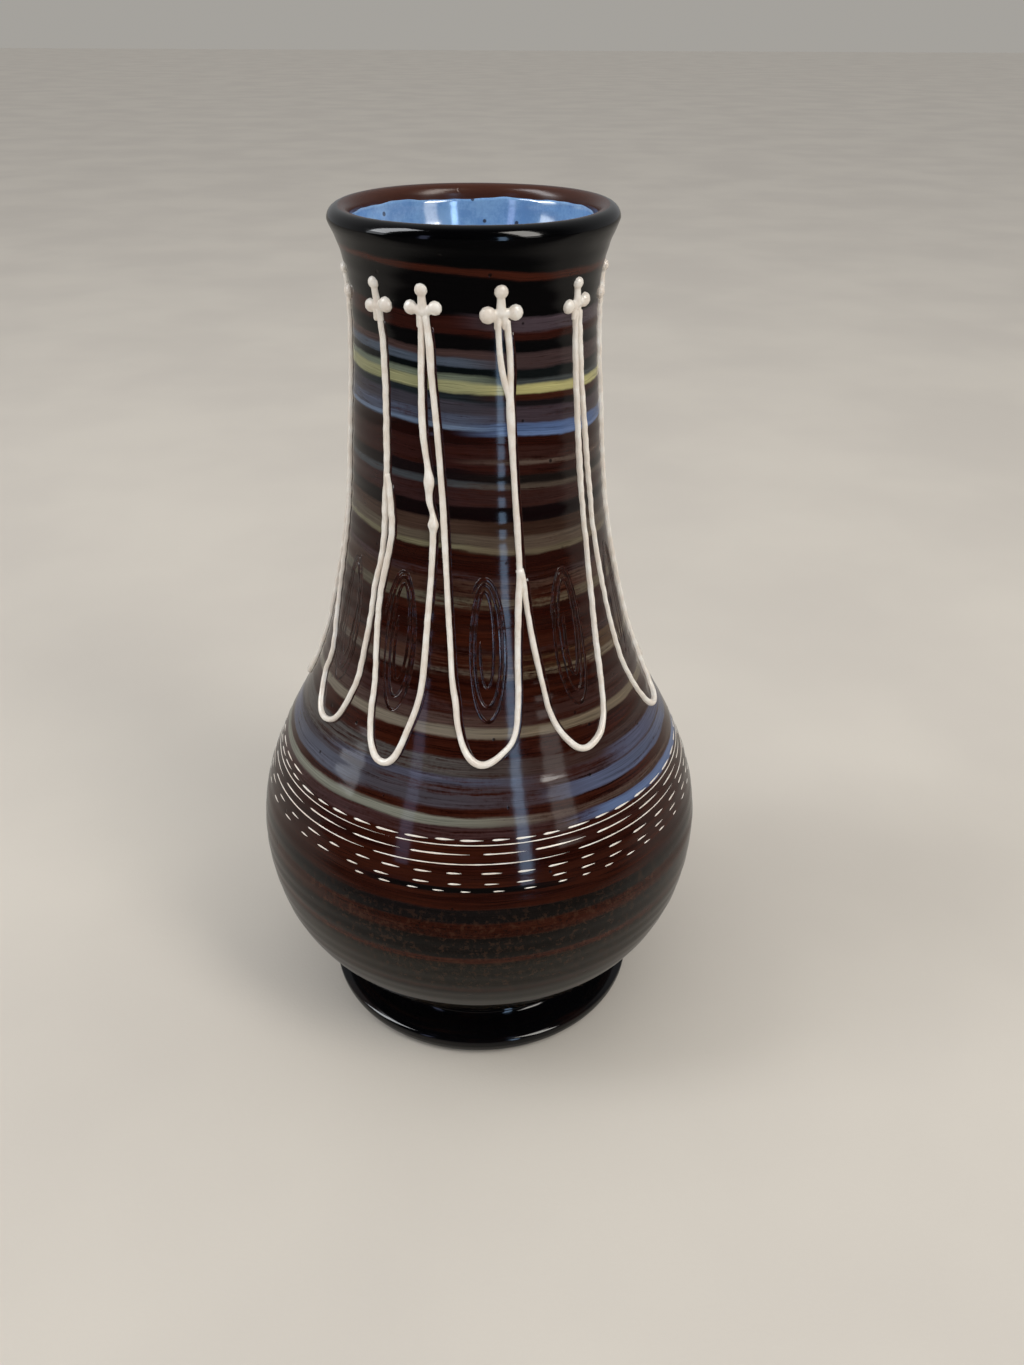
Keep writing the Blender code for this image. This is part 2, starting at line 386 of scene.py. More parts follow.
glazeBands = {
    "gloss": 1.34,
    "clay": ("#200804", "#34150b"),
    "clayStreak": "#190603",
    "blots": ("#4d3527", "#0c0a09"),
    "blotLevels": (80, 72),
    "speck": "#0a0506",
    "lipClay": ("#4c2b20", "#3e2219"),
    "lipClayFrom": 226,
    "lipClayRadius": 30.2,
    "underside": "#4a2a1e",
    # mm that a wash sinks from the middle of the front to the right, high and low on the pot, and the
    # levels between which that changes
    "tiltAbove": 2.3,
    "tiltBelow": 0.8,
    "tiltChange": (95, 135),
    "edge": 0.35,
    # (top of the band, colour, how solid the wash is), each reaching down to the next one
    "left": [
        (260, "#030304", 1.0), (240.4, "#3c1a10", 0.9), (239.0, "#040304", 1.0),
        (229.2, "#2e120d", 0.7), (225.0, "#050405", 1.0), (221.2, "#40302e", 0.8),
        (219.4, "#464f5c", 0.8), (217.2, "#060b0d", 1.0), (215.4, "#626a5c", 0.9),
        (213.8, "#8c8c68", 0.95), (210.9, "#1a2024", 0.9), (208.9, "#38363e", 0.75),
        (205.8, "#454b5c", 0.6), (202.9, "#5f6f86", 0.8), (201.9, "#1c0806", 0.85),
        (198.4, "#2c1412", 0.6), (192.0, "#120a0c", 0.85), (189.0, "#3a3e42", 0.7),
        (187.2, "#301c1c", 0.6), (182.2, "#0d0405", 0.95), (178.4, "#3e2e26", 0.8),
        (174.6, "#50473c", 0.85), (171.8, "#68634e", 0.85), (170.4, "#220a06", 0.6),
        (164.6, "#3a2a2c", 0.6), (162.6, "#3a261e", 0.8), (158.0, "#504a3e", 0.85),
        (155.0, "#240a05", 0.5), (145.2, "#33221f", 0.6), (142.8, "#402a22", 0.75),
        (139.2, "#524840", 0.8), (136.8, "#260d08", 0.45), (131.4, "#382422", 0.65),
        (127.0, "#463631", 0.6), (124.0, "#6e665a", 0.85), (121.2, "#33150d", 0.35),
        (116.0, "#4a4644", 0.55), (110.0, "#403c42", 0.6), (104.0, "#36180f", 0.4),
        (101.8, "#74756a", 0.9), (99.6, "#3e2a2a", 0.5), (96.0, "#2f1513", 0.3), (82.6, "#2e1510", 0.2),
        (77.4, "#141010", 0.85), (73.0, "#33180f", 0.4), (68.4, "#14100e", 0.85),
        (60.6, "#3a1c12", 0.6), (58.6, "#1f1b16", 0.85), (46.5, "#2e1a13", 0.6),
        (45.0, "#1b1915", 0.85), (36.0, "#1b1915", 0.9), (12.3, "#3a1f16", 0.8),
    ],
    "right": [
        (260, "#030304", 1.0), (240.4, "#3c1a10", 0.9), (238.6, "#040304", 1.0),
        (229.8, "#453a40", 0.7), (226.4, "#2e120c", 0.6), (224.4, "#050405", 1.0),
        (221.4, "#3c2e2e", 0.75), (217.4, "#0d1112", 0.95), (214.6, "#3c4040", 0.85),
        (213.3, "#a8a26e", 0.95), (211.0, "#34180f", 0.7), (209.4, "#141012", 0.9),
        (207.8, "#3a3036", 0.7), (203.8, "#4a5c80", 0.85), (201.4, "#5c7096", 0.85),
        (200.6, "#240a05", 0.85), (197.8, "#301a16", 0.5), (194.6, "#54463e", 0.55),
        (193.4, "#2a120e", 0.5), (190.8, "#16100e", 0.8), (188.6, "#463c34", 0.65),
        (187.2, "#301c19", 0.6), (182.6, "#0d0405", 0.95), (178.6, "#302018", 0.75),
        (174.8, "#4e4238", 0.8), (171.4, "#5a5040", 0.8), (170.0, "#220905", 0.6),
        (164.4, "#3a2c2c", 0.6), (162.8, "#46332a", 0.8), (158.2, "#54493a", 0.85),
        (155.4, "#2a0c05", 0.5), (145.4, "#352524", 0.6), (143.2, "#44301f", 0.7),
        (138.4, "#645848", 0.75), (136.2, "#280e08", 0.4), (131.2, "#34201c", 0.6),
        (123.8, "#665a4a", 0.85), (121.2, "#33150d", 0.35), (116.0, "#382824", 0.55),
        (112.0, "#3c2e30", 0.5), (104.4, "#36180f", 0.4), (102.0, "#4e3e36", 0.5),
        (100.2, "#3a2624", 0.45), (96.6, "#321914", 0.4), (92.0, "#2e130d", 0.25),
        (83.0, "#2e130d", 0.2), (77.4, "#161210", 0.85), (73.0, "#361a10", 0.4),
        (68.6, "#171310", 0.85), (60.6, "#3a1c12", 0.55), (58.6, "#201c17", 0.85),
        (46.5, "#2c1a13", 0.6), (45.0, "#1c1a15", 0.85), (36.0, "#1b1915", 0.9), (12.3, "#3a1f16", 0.8),
    ],
    # (middle angle, half width, bottom, top, colour, solidity) of short brushed patches
    "patches": [
        # the pale lilac-blue patches at 66, 58, 75 and -66 degrees are thin blue wash with the window's
        # sheen painted into their colour
        (66, 36, 97.2, 99.8, "#58688a", 0.95), (58, 34, 104.5, 108.5, "#4c5268", 0.75),
        (75, 30, 109.0, 113.0, "#4a4c60", 0.7), (-66, 26, 103.6, 108.0, "#4c4e5a", 0.7),
        (-4, 24, 82.0, 83.6, "#080606", 1.0), (-20, 30, 109.5, 111.5, "#454552", 0.6),
        (150, 50, 106.0, 111.0, "#4a526c", 0.7), (200, 40, 97.0, 100.0, "#54607c", 0.8),
        (120, 30, 203.0, 206.0, "#4c5a78", 0.8), (245, 35, 104.0, 109.0, "#4c5068", 0.7),
    ],
    # angle, bottom and top of the worn place, and how much of the wash is gone
    "worn": (12, 126, 167, 0.45),
}


def bandRamp(finish, level, bands, edge):
    # colour and solidity by level, from as many ramps as the bands need
    bottoms = [band[0] for band in bands[1:]] + [0.0]
    spans = [(bottom, *band) for bottom, band in zip(bottoms, bands)][::-1]
    colour, cover = None, None
    # a ramp holds at most 32 stops, two to a band
    most = 15
    for first in range(0, len(spans), most):
        part = spans[first:first + most]
        low, high = part[0][0], part[-1][1]
        stops = []
        for bottom, top, code, solid in part:
            soft = min(edge, (top - bottom) * 0.3)
            for at in (bottom + soft, top - soft):
                stops.append(((at - low) / (high - low), (*linear(code), solid)))
        where = (level - low) / (high - low)
        rampColour = finish.add("ValToRGB", {"stops": stops}, {0: where})
        rampCover = finish.also(1)
        if colour is None:
            colour, cover = rampColour, rampCover
        else:
            above = finish.step(level, low - edge, low + edge)
            colour = finish.blend(above, colour, rampColour)
            cover = cover * (1 - above) + rampCover * above
    return colour, cover


def makeBodyGlaze():
    g = Finish("banded glaze")
    point, dirX, dirY, level, reach = g.place()
    ringPoint = g.combine(dirX, dirY, level)
    tilt = g.step(level, *glazeBands["tiltChange"])
    tilt = tilt * (glazeBands["tiltAbove"] - glazeBands["tiltBelow"]) + glazeBands["tiltBelow"]
    # slow wander of each band round the pot, then the ragged edge that the brush leaves
    wander = g.noise(g.scaled(ringPoint, (1.1, 1.1, 0.03)), 1.0, 1.0) - 0.5
    ragged = g.noise(g.scaled(ringPoint, (5.0, 5.0, 0.5)), 1.0, 3.0, 0.6) - 0.5
    bandLevel = level + tilt * dirX + wander * 2.6 + ragged * 0.9
    streakPoint = g.combine(dirX * 3.0, dirY * 3.0, bandLevel * 1.5)
    fineStreak = g.noise(streakPoint, 1.0, 3.0, 0.65)
    broadPoint = g.combine(dirX * 1.6, dirY * 1.6, bandLevel * 0.45)
    broadStreak = g.noise(broadPoint, 1.0, 2.0, 0.5)
    mottle = g.noise(point, 900.0, 2.0, 0.6)
    drift = g.noise(g.scaled(ringPoint, (0.9, 0.9, 0.02)), 1.0, 1.0) - 0.5
    side = g.step(dirX + drift * 0.9, -0.25, 0.3)
    leftColour, leftCover = bandRamp(g, bandLevel, glazeBands["left"], glazeBands["edge"])
    rightColour, rightCover = bandRamp(g, bandLevel, glazeBands["right"], glazeBands["edge"])
    washColour = g.blend(side, leftColour, rightColour)
    solid = leftCover * (1 - side) + rightCover * side
    for middle, half, bottom, top, code, patchSolid in glazeBands["patches"]:
        turn = math.radians(middle)
        facing = dirX * math.sin(turn) - dirY * math.cos(turn) + ragged * 0.12
        fade = g.step(facing, math.cos(math.radians(half + 9)), math.cos(math.radians(half - 9)))
        fade = fade * g.step(bandLevel, bottom - 0.4, bottom + 0.4) * g.step(bandLevel, top + 0.4, top - 0.4)
        washColour = g.blend(fade, washColour, linear(code))
        solid = solid * (1 - fade) + fade * patchSolid
    # the washes are thin over the front of the shoulder
    wornTurn, wornBottom, wornTop, wornShare = glazeBands["worn"]
    facing = dirX * math.sin(math.radians(wornTurn)) - dirY * math.cos(math.radians(wornTurn))
    worn = g.step(facing, 0.7, 0.88) * g.step(level, wornBottom, wornBottom + 4)
    worn = worn * g.step(level, wornTop, wornTop - 4)
    solid = solid * (1 - worn * wornShare)
    streak = (fineStreak - 0.5) * 1.9 + (broadStreak - 0.5) * 0.8 + (mottle - 0.5) * 0.5 + 0.5
    cover = g.step(solid * 1.55 - streak, -0.15, 0.55)
    darkClay, redClay = [linear(code) for code in glazeBands["clay"]]
    clay = g.blend(g.step(broadStreak, 0.35, 0.65), darkClay, redClay)
    clay = g.blend(g.step(fineStreak, 0.45, 0.75) * 0.6, clay, linear(glazeBands["clayStreak"]))
    colour = g.blend(cover, clay, washColour)
    # lighter and darker brush lines inside each wash
    lines = g.noise(g.combine(dirX * 2.2, dirY * 2.2, bandLevel * 3.2), 1.0, 2.0)
    bright = g.add("HueSaturation", None, {"Value": 1.32, "Color": colour})
    dark = g.add("HueSaturation", None, {"Value": 0.66, "Color": colour})
    colour = g.blend(g.step(lines, 0.52, 0.72), colour, bright)
    colour = g.blend(g.step(lines, 0.48, 0.3), colour, dark)
    # the lowest washes break up into fine blots
    blots = g.noise(point, 600.0, 4.0, 0.65)
    low = g.step(level, *glazeBands["blotLevels"])
    paleBlot, darkBlot = [linear(code) for code in glazeBands["blots"]]
    colour = g.blend(g.step(blots, 0.52, 0.62) * low * 0.3, colour, paleBlot)
    colour = g.blend(g.step(blots, 0.46, 0.36) * low * 0.5, colour, darkBlot)
    # iron specks
    speck = g.specks(point, 260.0, (0.16, 0.09), (0.86, 0.9))
    colour = g.blend(speck * 0.8, colour, linear(glazeBands["speck"]))
    # bare red clay over the inside half of the lip
    lipEdge = reach + (g.noise(g.scaled(ringPoint, (3.0, 3.0, 0.1)), 1.0, 2.0) - 0.5) * 0.8
    clayFrom, clayRadius = glazeBands["lipClayFrom"], glazeBands["lipClayRadius"]
    flare = g.step(level, clayFrom, lipLevel * 1000)
    wallMiddle = clayRadius + (lipMiddle * 1000 - clayRadius) * (flare * 0.6 + flare * flare * 0.4)
    onLip = g.step(lipEdge - wallMiddle, 0.25, -0.15) * g.step(level, clayFrom - 1, clayFrom)
    paleLip, darkLip = [linear(code) for code in glazeBands["lipClay"]]
    colour = g.blend(onLip, colour, g.blend(fineStreak, paleLip, darkLip))
    # bare clay under the pot, inside the foot
    under = g.step(level, bodySeat * 1000 + 0.5, bodySeat * 1000 + 0.1)
    colour = g.blend(under, colour, linear(glazeBands["underside"]))
    rough = 0.07 + 0.05 * fineStreak + 0.5 * under + 0.14 * onLip
    height = fineStreak * 0.25 + mottle * 0.15 - speck * 1.2
    look = {"Base Color": colour, "Roughness": rough, "IOR": glazeBands["gloss"]}
    return g.surface(look, height, 0.00006, 0.6)


bodyGlaze = makeBodyGlaze()
print("body glaze mixed")


def throwPot():
    columns = pot["columns"]
    angles = np.arange(columns) * 360 / columns
    rows = []
    # underside from the middle out, then up the outside
    for share in (0.2, 0.5, 0.8, 0.94):
        radius = outerTable[0] * share
        turn = np.radians(angles)
        rows.append(np.stack([radius * np.sin(turn), -radius * np.cos(turn),
                              np.full(columns, bodySeat)], -1))
    count = int((lipLevel - bodySeat) / pot["rowHeight"])
    for level in np.linspace(bodySeat, lipLevel, count):
        rows.append(wallPoint(angles, level))
    top = wallPoint(angles, lipLevel)
    outward = unit(top * (1, 1, 0))
    roll = pot["lipRoll"]
    for step in range(1, pot["rollSteps"]):
        turn = math.pi * step / pot["rollSteps"]
        rows.append(top + outward * roll * (math.cos(turn) - 1) + np.array([0, 0, roll * math.sin(turn)]))
    fineLevels = np.arange(lipLevel, pot["fineInside"], -pot["fineStep"])
    coarseLevels = np.arange(pot["fineInside"], floorLevel + 0.001, -pot["coarseStep"])
    for level in np.concatenate([fineLevels, coarseLevels]):
        rows.append(innerPoint(angles, level, 0.0))
    verts = np.vstack(rows)
    faces = ringFaces(len(rows), columns)
    faces.append(tuple(range(columns)))
    faces.append(tuple(range(len(verts) - columns, len(verts))))
    return verts, faces


def innerPoint(angles, level, out):
    # points on the inside of the wall, drawn in towards the axis by out
    radius = np.interp(level, innerLevels, innerTable)
    blendIn = smoothStep(level, pot["lipBlendFrom"], lipLevel)
    lipInside = lipMiddle - pot["lipRoll"]
    radius = radius * (1 - blendIn) + lipInside * blendIn
    radius = radius * outOfRound(angles) + relief(angles, level) - out
    turn = np.radians(angles)
    return np.stack([radius * np.sin(turn), -radius * np.cos(turn), level + lipLift(angles, level)], -1)


wallVerts, wallFaces = throwPot()
addPiece("vaseWall", wallVerts, wallFaces, bodyGlaze, ["vase_body"])
print("pot thrown", len(wallVerts))


lining = {
    "thickness": 0.00022,
    "edgeLevel": 0.2466,
    "edgeWave": 0.0005,
    "columns": 192,
    "blue": "#89b3e0",
    "deepBlue": "#6c98cd",
    "speck": "#2a1a1c",
    "gloss": 2.2,
}


def makeLiningGlaze():
    g = Finish("blue glaze")
    point = g.position()
    cloud = g.noise(point, 160.0, 4.0, 0.6)
    grain = g.noise(point, 1500.0, 2.0, 0.6)
    tone = g.step(cloud * 0.8 + grain * 0.3, 0.4, 0.72)
    colour = g.blend(tone, linear(lining["deepBlue"]), linear(lining["blue"]))
    speck = g.specks(point, 330.0, (0.24, 0.15), (0.8, 0.84))
    colour = g.blend(speck * 0.85, colour, linear(lining["speck"]))
    rough = 0.08 + 0.05 * grain
    height = cloud * 0.6 - speck
    look = {"Base Color": colour, "Roughness": rough, "IOR": lining["gloss"]}
    return g.surface(look, height, 0.00008, 0.4)


def lineInside():
    columns = lining["columns"]
    angles = np.arange(columns) * 360 / columns
    turn = np.radians(angles)
    wave = np.sin(3 * turn + 1) + 0.6 * np.sin(7 * turn)
    wave = wave + 0.35 * np.sin(13 * turn + 2) + 0.2 * np.sin(29 * turn)
    edge = lining["edgeLevel"] + lining["edgeWave"] * wave / 1.6
    rows = []
    for share, thick in ((0.0, -0.0001), (0.0, 0.4), (0.0007, 1.0), (0.002, 1.0)):
        out = thick * lining["thickness"] if thick > 0 else thick
        rows.append(innerPoint(angles, edge - share, out))
    for level in np.linspace(lining["edgeLevel"] - 0.006, floorLevel + 0.0011, 90):
        rows.append(innerPoint(angles, level, lining["thickness"]))
    radius = np.interp(floorLevel + 0.0004, innerLevels, innerTable)
    for share in (0.93, 0.6, 0.3, 0.05):
        rows.append(np.stack([radius * share * np.sin(turn), -radius * share * np.cos(turn),
                              np.full(columns, floorLevel + 0.0003)], -1))
    verts = np.vstack(rows)
    faces = ringFaces(len(rows), columns)
    faces.append(tuple(range(len(verts) - columns, len(verts))))
    return verts, faces


liningVerts, liningFaces = lineInside()
addPiece("blueLining", liningVerts, liningFaces, makeLiningGlaze())
print("inside lined")


foot = {
    "columns": 240,
    "ridgeHeight": 0.00022,
    "black": "#060608",
    "thinEdge": "#1c0f0c",
    "clay": "#6a3b28",
    "darkClay": "#4a2618",
    "luting": 0.0012,
    "gloss": 1.38,
    # level and strength of each turning ridge
    "ridges": [(0.0088, 1.0), (0.0101, 0.5)],
    "ridgeWidth": 0.0003,
    "rowsInside": 12,
}


def makeFootGlaze():
    g = Finish("black glaze")
    point, dirX, dirY, level, reach = g.place()
    ringPoint = g.combine(dirX * 2.0, dirY * 2.0, level * 1.4 + reach * 1.1)
    lines = g.noise(ringPoint, 1.0, 3.0, 0.6)
    grain = g.noise(point, 1100.0, 2.0, 0.6)
    colour = g.blend(g.step(lines, 0.5, 0.75) * 0.7, linear(foot["black"]), linear(foot["thinEdge"]))
    sole = g.step(level + (grain - 0.5) * 0.5, 0.75, 0.35)
    colour = g.blend(sole, colour, g.blend(grain, linear(foot["darkClay"]), linear(foot["clay"])))
    rough = 0.05 + 0.05 * lines + 0.6 * sole
    height = lines * 0.5 + grain * sole * 0.3
    look = {"Base Color": colour, "Roughness": rough, "IOR": foot["gloss"]}
    return g.surface(look, height, 0.00008, 0.5)


def turnFoot():
    # the foot's outline is read from the CAD ring, then given turning ridges and a luted joint
    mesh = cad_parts["foot_ring"].data
    tree = BVHTree.FromPolygons([v.co for v in mesh.vertices], [p.vertices for p in mesh.polygons])
    low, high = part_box("foot_ring")
    levels = np.linspace(high.z - 0.00005, low.z + 0.00005, 90)
    radii = []
    for z in levels:
        hit = tree.ray_cast((0, -0.2, z), (0, 1, 0))[0]
        radii.append(math.hypot(hit.x, hit.y))
    radii = softened(np.array(radii), 2.0)
    for ridgeLevel, strength in foot["ridges"]:
        away = (levels - ridgeLevel) / foot["ridgeWidth"]
        radii = radii + foot["ridgeHeight"] * strength * np.exp(-away ** 2)
    outline = [(outerTable[0] + 0.0007, bodySeat + foot["luting"])]
    outline.append((outerTable[0] + 0.0008, bodySeat + 0.0002))
    outline += list(zip(radii, levels))
    contactOuter = radii[-1]
    inside = []
    for z in np.linspace(low.z + 0.0001, high.z - 0.0001, foot["rowsInside"]):
        hit = tree.ray_cast((0, 0, z), (0, -1, 0))[0]
        inside.append((math.hypot(hit.x, hit.y), z))
    contactInner = inside[0][0] + 0.0004
    outline.append((contactOuter - 0.0004, low.z))
    outline += [(contactOuter + (contactInner - contactOuter) * t, low.z) for t in (0.25, 0.5, 0.75, 1.0)]
    outline += inside
    outline.append((inside[-1][0] + 0.001, bodySeat + 0.0004))
    columns = foot["columns"]
    turn = np.radians(np.arange(columns) * 360 / columns)
    rows = []
    for radius, level in outline:
        flat = 0 if level > low.z + 0.0005 else 1
        wobble = radius * (1 + 0.0012 * np.cos(2 * turn + 2.0) * (1 - flat) - 0.0012)
        rows.append(np.stack([wobble * np.sin(turn), -wobble * np.cos(turn), np.full(columns, level)], -1))
    verts = np.vstack(rows)
    faces = ringFaces(len(rows), columns)
    # the last ring joins the first inside the luted joint
    last = (len(rows) - 1) * columns
    for c in range(columns):
        nxt = (c + 1) % columns
        faces.append((last + c, last + nxt, nxt, c))
    return verts, faces


footVerts, footFaces = turnFoot()
addPiece("foot", footVerts, footFaces, makeFootGlaze(), ["foot_ring"])
print("foot turned")


slip = {
    "step": 0.0008,
    "ease": 0.0013,
    "halfWidth": 0.0008,
    "height": 0.00105,
    "widthWander": 0.09,
    "gathered": 0.22,
    # metres round the neck to a degree
    "neckDegree": 0.0006,
    "white": "#f3eee5",
    "shade": "#e6dbce",
    "grain": "#b9a593",
    "seed": 5,
    "crossAngles": [-83, -46.5, -22.5, 10.8, 49.8, 86, 119, 149, 183, 214, 247],
    "loopAngles": [-59, -31, 1.5, 35.5, 77, 105, 137, 170, 202, 234, 264],
    "loopLevels": [114.5, 112.5, 114.5, 114.0, 110.5, 113.0, 114.5, 112.0, 113.5, 111.0, 113.0],
    # (angle, level in mm) down one side of each front garland, round its loop and up the other
    "frontTrails": [
        [(-82, 229), (-81.6, 215), (-81, 200), (-80, 182), (-78, 165), (-76, 150), (-73, 142),
         (-68.6, 131.5), (-69.5, 125), (-66, 118.5), (-62.5, 115.3), (-59, 114.6), (-55, 115.7),
         (-52.4, 118.2), (-49, 126),
         (-47.5, 131), (-47.3, 136), (-46, 150), (-45.8, 157), (-43.5, 165), (-42.5, 175), (-42.8, 182),
         (-42, 188), (-42.4, 200), (-43, 210), (-44, 220), (-45, 226), (-46.5, 230)],
        [(-41.8, 189), (-40.2, 183.5), (-38.5, 175), (-39, 170), (-41, 162), (-42.3, 155), (-42, 147),
         (-40.7, 138), (-39.2, 130), (-38.7, 124), (-36.7, 117.3), (-33.8, 113.2), (-31, 111.8),
         (-28.2, 112.3), (-26, 115.2), (-23.8, 121.5), (-21.5, 128), (-20.3, 135), (-19.8, 150), (-19, 165),
         (-18.6, 176), (-18.6, 179.5), (-20.6, 183.5), (-20.4, 189), (-22, 195), (-23.5, 202), (-24, 212),
         (-23.7, 222), (-23.3, 230)],
        [(-21.4, 230), (-19.9, 222), (-19.3, 215), (-17.5, 205), (-16, 195), (-14.5, 183), (-13.8, 175),
         (-12.8, 165), (-11.7, 155), (-10.5, 145), (-9.5, 136), (-8, 130), (-7.3, 125), (-5, 118.5),
         (-1.8, 115.1), (1.0, 114.3), (4.0, 115.4), (6.6, 117), (9.8, 119.2), (11.7, 122.5), (12.9, 128),
         (13.6, 133), (14, 140), (15, 150), (16, 158), (16.9, 164), (16.7, 175), (16, 185), (15.3, 195),
         (14.8, 203), (14.5, 210), (14.9, 215), (14.6, 221), (13.2, 229)],
        [(16.6, 166), (18.2, 161.5), (19, 155), (20.5, 145), (22, 137), (23.1, 131), (23.6, 127), (26, 121),
         (29.5, 116.5), (32.4, 114.2), (35.4, 113.8), (39, 115), (42.6, 117.2), (45.3, 121), (47, 126),
         (48.5, 132), (49.5, 140), (51, 150), (51.8, 160), (52.3, 168), (51.8, 177), (51, 185), (50.3, 195),
         (50, 205), (49.7, 215), (49.0, 229)],
        [(51.6, 229), (53.4, 218), (53.9, 212), (54.8, 205), (56, 195), (57.5, 185), (58.5, 180), (59, 172),
         (60, 162), (61, 152), (62, 142), (63.3, 133), (63.8, 129), (66.5, 122), (70, 115), (73.5, 111.4),
         (77.5, 110.3), (81.5, 111.6), (84.5, 115.5), (86.0, 122), (86.8, 132), (87.2, 145), (87.4, 165),
         (86.8, 185), (86, 205), (85.6, 229)],
    ],
    # the left strand under the fourth cross joins the right one lower down
    "spurs": {3: [(9.4, 229), (10.2, 221), (11.6, 215), (14.3, 209.5), (14.9, 205)]},
    # lumps where the trailer paused: angle, level in mm, how much wider, and over what length
    "lumps": {
        1: [(-18.3, 177.2, 0.75, 0.0013), (-20.4, 188.6, 0.7, 0.0022), (-19.6, 181, -0.25, 0.0015)],
        2: [(14.5, 205, 0.25, 0.006), (-19.8, 222, 0.15, 0.004)],
        3: [(16.9, 164, 0.2, 0.003)],
        6: [(121, 196, 0.5, 0.002)],
        8: [(186, 205, 0.45, 0.003)],
    },
    # how a plain garland runs: (share of half the loop's width, mm above its bottom) round the loop, and
    # (share of the way out to the loop, level in mm) down to it and up again
    "loop": [(-1, 12.5), (-0.72, 5), (-0.38, 1), (0, 0), (0.42, 1.2), (0.78, 5.5), (1, 13)],
    "down": [(0.0, 229), (0.08, 214), (0.2, 196), (0.38, 176), (0.6, 154), (0.83, 136)],
    "up": [(0.83, 138), (0.6, 155), (0.38, 177), (0.2, 197), (0.08, 213), (0.0, 229)],
}


def backTrail(first, second, bottom, bottomLevel, generator):
    # a plain garland from one cross to the next, with a little wander
    wander = generator.normal(0, 0.35, 12)
    half = 0.27 * (second - first)
    left = bottom - half
    right = bottom + half
    startDown = first + 1.5
    startUp = second - 1.5
    points = []
    for i, (share, level) in enumerate(slip["down"]):
        points.append((startDown + (left - startDown) * share + wander[i] * min(share * 4, 1), level))
    points += [(bottom + half * share, bottomLevel + rise) for share, rise in slip["loop"]]
    for i, (share, level) in enumerate(slip["up"]):
        points.append((startUp + (right - startUp) * share + wander[6 + i] * min(share * 4, 1), level))
    return points


def makeSlipFinish():
    g = Finish("white slip")
    point = g.position()
    cloud = g.noise(point, 260.0, 3.0, 0.55)
    grain = g.noise(point, 2600.0, 2.0, 0.6)
    colour = g.blend(g.step(cloud, 0.35, 0.7), linear(slip["shade"]), linear(slip["white"]))
    colour = g.blend(g.step(grain, 0.62, 0.78) * 0.35, colour, linear(slip["grain"]))
    rough = 0.16 + 0.14 * cloud
    return g.surface({"Base Color": colour, "Roughness": rough}, cloud * 0.7 + grain * 0.3, 0.00012, 0.5)


slipFinish = makeSlipFinish()
slipRandom = np.random.default_rng(slip["seed"])


def trailShape(points, lumps=()):
    angles, levels, run = densePath(points, slip["step"], slip["ease"])
    halfWidths = slip["halfWidth"] * wavy(run, 0.006, slip["widthWander"], slipRandom)
    # slip gathers at the bottom of a loop
    gather = np.exp(-((levels - levels.min()) / 0.004) ** 2)
    halfWidths = halfWidths * (1 + slip["gathered"] * gather)
    for angle, level, size, length in lumps:
        away = np.hypot((angles - angle) * slip["neckDegree"], levels - level / 1000)
        halfWidths = halfWidths * (1 + size * np.exp(-(away / length) ** 2))
    ends = np.minimum(run, run[-1] - run)
    taper = np.sqrt(1 - (1 - np.clip(ends / slip["halfWidth"], 0, 1)) ** 2) * 0.98 + 0.02
    halfWidths = halfWidths * taper
    heights = slip["height"] * (halfWidths / slip["halfWidth"]) ** 0.8
    return bead(angles, levels, halfWidths, heights, roundSection(11))


crossAngles = slip["crossAngles"]
garlands = len(crossAngles)
trailPaths = list(slip["frontTrails"])
for i in range(len(trailPaths), garlands):
    following = crossAngles[i + 1] if i + 1 < garlands else crossAngles[0] + 360
    loop = (slip["loopAngles"][i], slip["loopLevels"][i])
    trailPaths.append(backTrail(crossAngles[i], following, *loop, slipRandom))

for i, path in enumerate(trailPaths):
    shapes = [trailShape(path, slip["lumps"].get(i, ()))]
    if i in slip["spurs"]:
        shapes.append(trailShape(slip["spurs"][i]))
    verts, faces = joined(shapes)
    number = f"{i + 1:02d}"
    addPiece("slipGarland" + number, verts, faces, slipFinish, ["slip_garland_" + number])
print("garlands trailed")


crosses = {
    "level": 230.0,
    "voxel": 0.17,
    "flatness": 0.82,
    "sunk": 0.1,
    "hub": 1.45,
    "armRadius": 1.2,
    # radius of the upright at the middle and under the top drop
    "upright": (1.3, 1.0),
    # the two stubs that the garland hangs from: offset, length, radius at each end
    "stubs": (1.0, 3.2, 1.1, 0.82),
    # left drop, right drop (across, up, radius) and top drop, in mm from the middle
    "drops": [
        ((-3.1, -0.6, 1.75), (3.1, 0.3, 1.8), (0.0, 5.3, 1.55)),
        ((-2.8, -0.4, 1.75), (3.0, 0.6, 2.0), (-0.3, 5.4, 1.6)),
        ((-3.1, 0.9, 1.85), (3.2, 1.1, 1.8), (0.0, 5.2, 1.65)),
        ((-3.2, -0.3, 2.15), (3.5, 0.1, 2.0), (-0.1, 5.1, 1.75)),
        ((-3.2, -0.3, 1.85), (3.1, 0.4, 1.9), (-0.6, 5.0, 1.55)),
    ],
}


